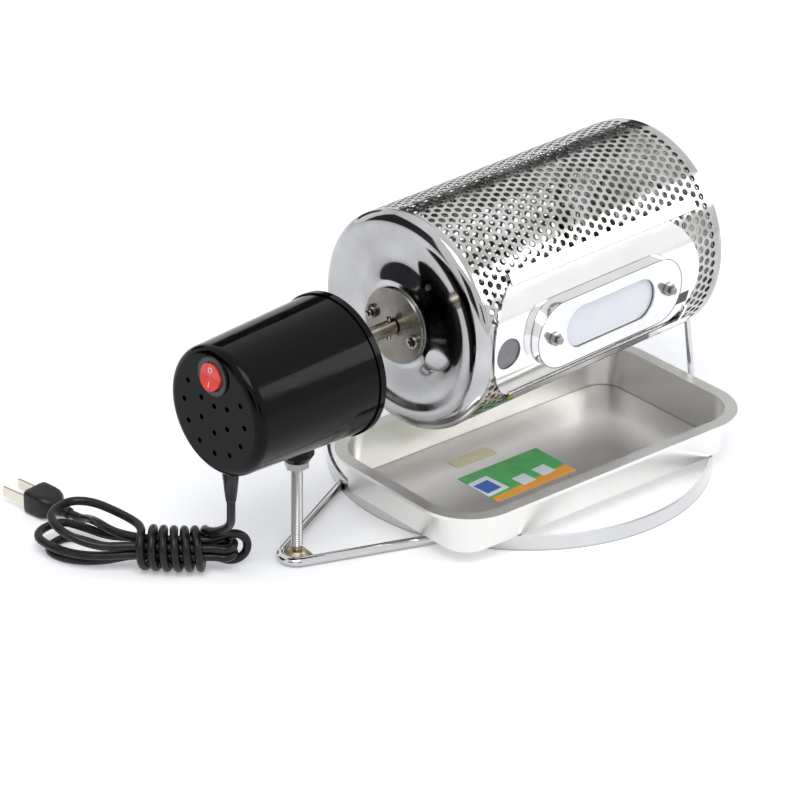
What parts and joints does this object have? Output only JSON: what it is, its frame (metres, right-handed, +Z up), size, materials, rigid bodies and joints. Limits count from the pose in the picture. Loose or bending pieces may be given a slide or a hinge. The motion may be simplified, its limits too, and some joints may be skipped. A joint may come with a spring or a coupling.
{
  "type": "home coffee bean roaster",
  "caption": "Small electric drum roaster: motor housing on a post turns a perforated steel drum with a sliding windowed door over a loose chaff tray on a ring stand.",
  "frame": {"origin": "on the surface that the base ring stands on, midway between the rocker switch's face and the rear axle's end", "axes": "+X along the drum's axis away from the motor housing, +Z up, the drum's door faces -Y"},
  "size_m": [0.4235, 0.2925, 0.1953],
  "materials": {
    "chrome_wire": "bright plated",
    "weld_bead": "heat-tinted weld",
    "plated_nut": "zinc plated",
    "black_housing": "gloss black moulding",
    "gear_case": "pressed steel",
    "switch_black": "satin black",
    "switch_red": "gloss red",
    "cord_black": "smooth vinyl",
    "plug_black": "satin vinyl",
    "pin_metal": "nickel plated",
    "turned_steel": "turned",
    "cap_steel": "spun with radial sheen",
    "shell_steel": "perforated stainless sheet",
    "door_steel": "smooth stainless sheet",
    "bezel_steel": "pressed stainless",
    "gasket_dark": "graphite seal",
    "window_glass": "clear heat-proof glass",
    "catch_black": "satin black",
    "tray_steel": "bright pressed stainless",
    "label_green": "printed film",
    "label_cream": "paper film"
  },
  "bodies": {
    "frame": {"base_ring": "chrome_wire", "base_rod": "chrome_wire", "post_weld": "weld_bead", "motor_post": "chrome_wire", "post_nut": "plated_nut", "rear_support": "chrome_wire", "motor_housing": "black_housing", "housing_rear_cover": "black_housing", "cover_screws": "plated_nut", "gearbox": "gear_case", "motor_can": "gear_case", "switch_body": "switch_black", "cord_gland": "switch_black", "cord_lead": "cord_black", "cord_hank": "cord_black", "plug_body": "plug_black", "plug_pins": "pin_metal"},
    "rocker": {"switch_rocker": "switch_red"},
    "output": {"drive_sleeve": "turned_steel"},
    "drum": {"drive_stub": "turned_steel", "cross_pin": "turned_steel", "drive_flange": "cap_steel", "flange_screws": "plated_nut", "flange_nuts": "plated_nut", "front_cap": "cap_steel", "drum_shell": "shell_steel", "rear_cap": "cap_steel", "rear_flange": "cap_steel", "rear_flange_screws": "plated_nut", "rear_flange_nuts": "plated_nut", "rear_axle": "turned_steel", "stirring_vanes": "shell_steel", "upper_rail": "shell_steel", "lower_rail": "shell_steel"},
    "door": {"door_plate": "door_steel", "window_bezel": "bezel_steel", "window_gasket": "gasket_dark", "window_glass": "window_glass", "window_studs": "plated_nut", "window_nuts": "plated_nut", "door_catch": "catch_black"},
    "tray": {"chaff_tray": "tray_steel", "tray_sticker": "label_green", "tray_label": "label_cream"}
  },
  "joints": [
    {"name": "rocker_tilt", "type": "hinge", "parent": "frame", "child": "rocker", "pos_m": [-0.187, 0, 0.1427], "axis": [0, 1, 0], "range_deg": [-16, 0]},
    {"name": "output_spin", "type": "hinge", "parent": "frame", "child": "output", "pos_m": [-0.08, 0, 0.127], "axis": [1, 0, 0], "continuous": true},
    {"name": "drum_spin", "type": "hinge", "parent": "frame", "child": "drum", "pos_m": [0.066, 0, 0.127], "axis": [1, 0, 0], "continuous": true},
    {"name": "door_slide", "type": "slide", "parent": "drum", "child": "door", "axis": [-1, 0, 0], "range_m": [0, 0.085]},
    {"name": "tray_slide", "type": "slide", "parent": "frame", "child": "tray", "axis": [0, -1, 0], "range_m": [0, 0.1]}
  ],
  "couplings": [
    {"joint": "output_spin", "follows": "drum_spin", "ratio": 1}
  ]
}
